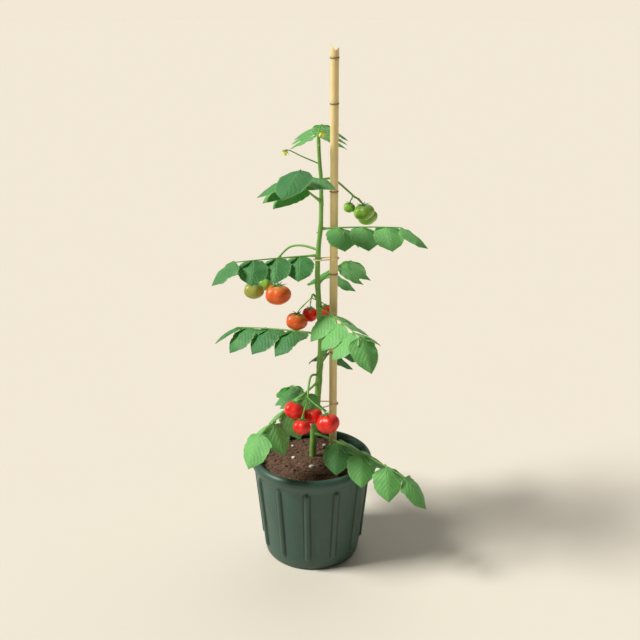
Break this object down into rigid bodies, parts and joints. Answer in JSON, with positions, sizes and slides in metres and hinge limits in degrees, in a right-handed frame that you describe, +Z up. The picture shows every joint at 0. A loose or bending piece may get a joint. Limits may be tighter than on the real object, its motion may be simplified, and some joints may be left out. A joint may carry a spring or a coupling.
{
  "type": "potted tomato plant",
  "caption": "Young tomato plant with ripening fruit and small flowers, tied to a bamboo cane that stands in a ribbed round plastic pot of soil.",
  "frame": {"origin": "centre of the flat underside of the pot", "axes": "+Z up along the pot's axis, -Y towards the viewer of the picture, +X to its right"},
  "size_m": [0.5157, 0.5292, 1.236],
  "materials": {
    "pot_plastic": "satin",
    "soil": "matte",
    "bamboo": "satin",
    "stem": "satin",
    "leaf": "satin",
    "ripe_fruit": "gloss",
    "turning_fruit": "gloss",
    "pale_fruit": "gloss",
    "green_fruit": "gloss",
    "petal": "matte",
    "twine": "matte"
  },
  "bodies": {
    "root": {"pot": "pot_plastic", "potting_soil": "soil", "cane": "bamboo", "main_stem": "stem", "leaf_01": "leaf", "leaf_02": "leaf", "leaf_03": "leaf", "leaf_04": "leaf", "leaf_05": "leaf", "leaf_06": "leaf", "leaf_07": "leaf", "leaf_08": "leaf", "leaf_09": "leaf", "leaf_10": "leaf", "leaf_11": "leaf", "truss_1": "stem", "tomato_1a": "ripe_fruit", "tomato_1b": "ripe_fruit", "tomato_1c": "ripe_fruit", "tomato_1d": "ripe_fruit", "truss_2": "stem", "tomato_2a": "turning_fruit", "tomato_2b": "ripe_fruit", "tomato_2c": "ripe_fruit", "truss_3": "stem", "tomato_3a": "pale_fruit", "tomato_3b": "green_fruit", "tomato_3c": "turning_fruit", "truss_4": "stem", "tomato_4a": "green_fruit", "tomato_4b": "green_fruit", "tomato_4c": "green_fruit", "flower_stalk_left": "stem", "flower_left": "petal", "flower_stalk_top": "stem", "flower_top": "petal", "tie_1": "twine", "tie_2": "twine"}
  },
  "joints": []
}
